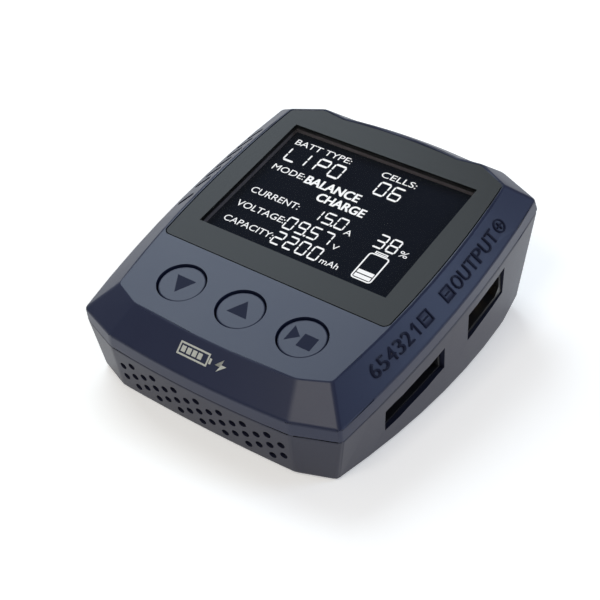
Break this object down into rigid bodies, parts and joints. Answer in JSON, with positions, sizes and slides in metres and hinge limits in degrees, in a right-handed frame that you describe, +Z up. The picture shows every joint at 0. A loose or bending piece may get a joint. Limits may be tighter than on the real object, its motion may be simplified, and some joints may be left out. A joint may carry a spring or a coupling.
{
  "type": "balance battery charger",
  "caption": "Wedge-shaped desktop balance charger with a sloping display deck, round push buttons, a balance port, an output power socket and a cooling fan.",
  "frame": {"origin": "on the table under the middle of the case, at the centre of its bounding box", "axes": "+Z up, +Y from the button end towards the socket end at the back, +X towards the side with the balance port and the output socket"},
  "size_m": [0.0728, 0.0856, 0.0352],
  "materials": {
    "case_plastic": "fine matt texture, dark slate blue",
    "button_plastic": "matt slate blue",
    "lens_clear": "clear hard-coated acrylic",
    "mask_print": "dark grey printed film",
    "bezel_foam": "dark brown-grey moulding",
    "lcd_glass": "near-black liquid crystal glass",
    "diffuser": "milky light guide",
    "frame_white": "white moulded frame",
    "circuit_board": "green solder resist",
    "black_plastic": "black moulded nylon",
    "switch_stem": "off-white stem",
    "tinned_pin": "tinned wire",
    "gold_pin": "gold-plated bullet pin",
    "plated_shell": "nickel-plated steel shell",
    "fan_plastic": "black fan plastic",
    "sink_alloy": "black anodised aluminium",
    "thermal_pad": "soft grey-blue silicone",
    "chip_epoxy": "black moulding compound",
    "ferrite": "dark grey ferrite",
    "can_alloy": "bright aluminium can",
    "rubber": "black rubber",
    "screw_steel": "zinc-plated steel"
  },
  "bodies": {
    "case": {"upper_shell": "case_plastic", "lower_shell": "case_plastic", "display_lens": "lens_clear", "lens_mask": "mask_print", "lcd_bezel": "bezel_foam", "lcd_panel": "lcd_glass", "light_guide": "diffuser", "lcd_frame": "frame_white", "display_board": "circuit_board", "switch_down": "black_plastic", "switch_up": "black_plastic", "switch_start": "black_plastic", "main_board": "circuit_board", "link_header": "black_plastic", "link_socket": "black_plastic", "balance_header": "black_plastic", "balance_pins": "tinned_pin", "output_socket": "black_plastic", "output_pins": "gold_pin", "input_socket": "black_plastic", "input_pins": "gold_pin", "usb_shell": "plated_shell", "usb_tongue": "black_plastic", "fan_frame": "fan_plastic", "heat_sink": "sink_alloy", "thermal_pad": "thermal_pad", "transistor_1": "chip_epoxy", "transistor_2": "chip_epoxy", "transistor_3": "chip_epoxy", "transistor_4": "chip_epoxy", "inductor_1": "ferrite", "inductor_2": "ferrite", "capacitor_1": "can_alloy", "capacitor_2": "can_alloy", "capacitor_3": "can_alloy", "buzzer": "black_plastic", "controller": "chip_epoxy", "foot_front_left": "rubber", "foot_front_right": "rubber", "foot_back_left": "rubber", "foot_back_right": "rubber", "case_screws": "screw_steel", "board_screws": "screw_steel", "display_screws": "screw_steel"},
    "down_button": {"button_down": "button_plastic", "plunger_down": "switch_stem"},
    "up_button": {"button_up": "button_plastic", "plunger_up": "switch_stem"},
    "start_button": {"button_start": "button_plastic", "plunger_start": "switch_stem"},
    "fan_wheel": {"fan_rotor": "fan_plastic"}
  },
  "joints": [
    {"name": "down_press", "type": "slide", "parent": "case", "child": "down_button", "axis": [0, 0.1822, -0.9833], "range_m": [0, 0.0003], "stiffness_N_per_m": 600},
    {"name": "up_press", "type": "slide", "parent": "case", "child": "up_button", "axis": [0, 0.1822, -0.9833], "range_m": [0, 0.0003], "stiffness_N_per_m": 600},
    {"name": "start_press", "type": "slide", "parent": "case", "child": "start_button", "axis": [0, 0.1822, -0.9833], "range_m": [0, 0.0003], "stiffness_N_per_m": 600},
    {"name": "fan_spin", "type": "hinge", "parent": "case", "child": "fan_wheel", "pos_m": [-0.0293, 0.01621, 0.01385], "axis": [1, 0, 0], "continuous": true}
  ]
}
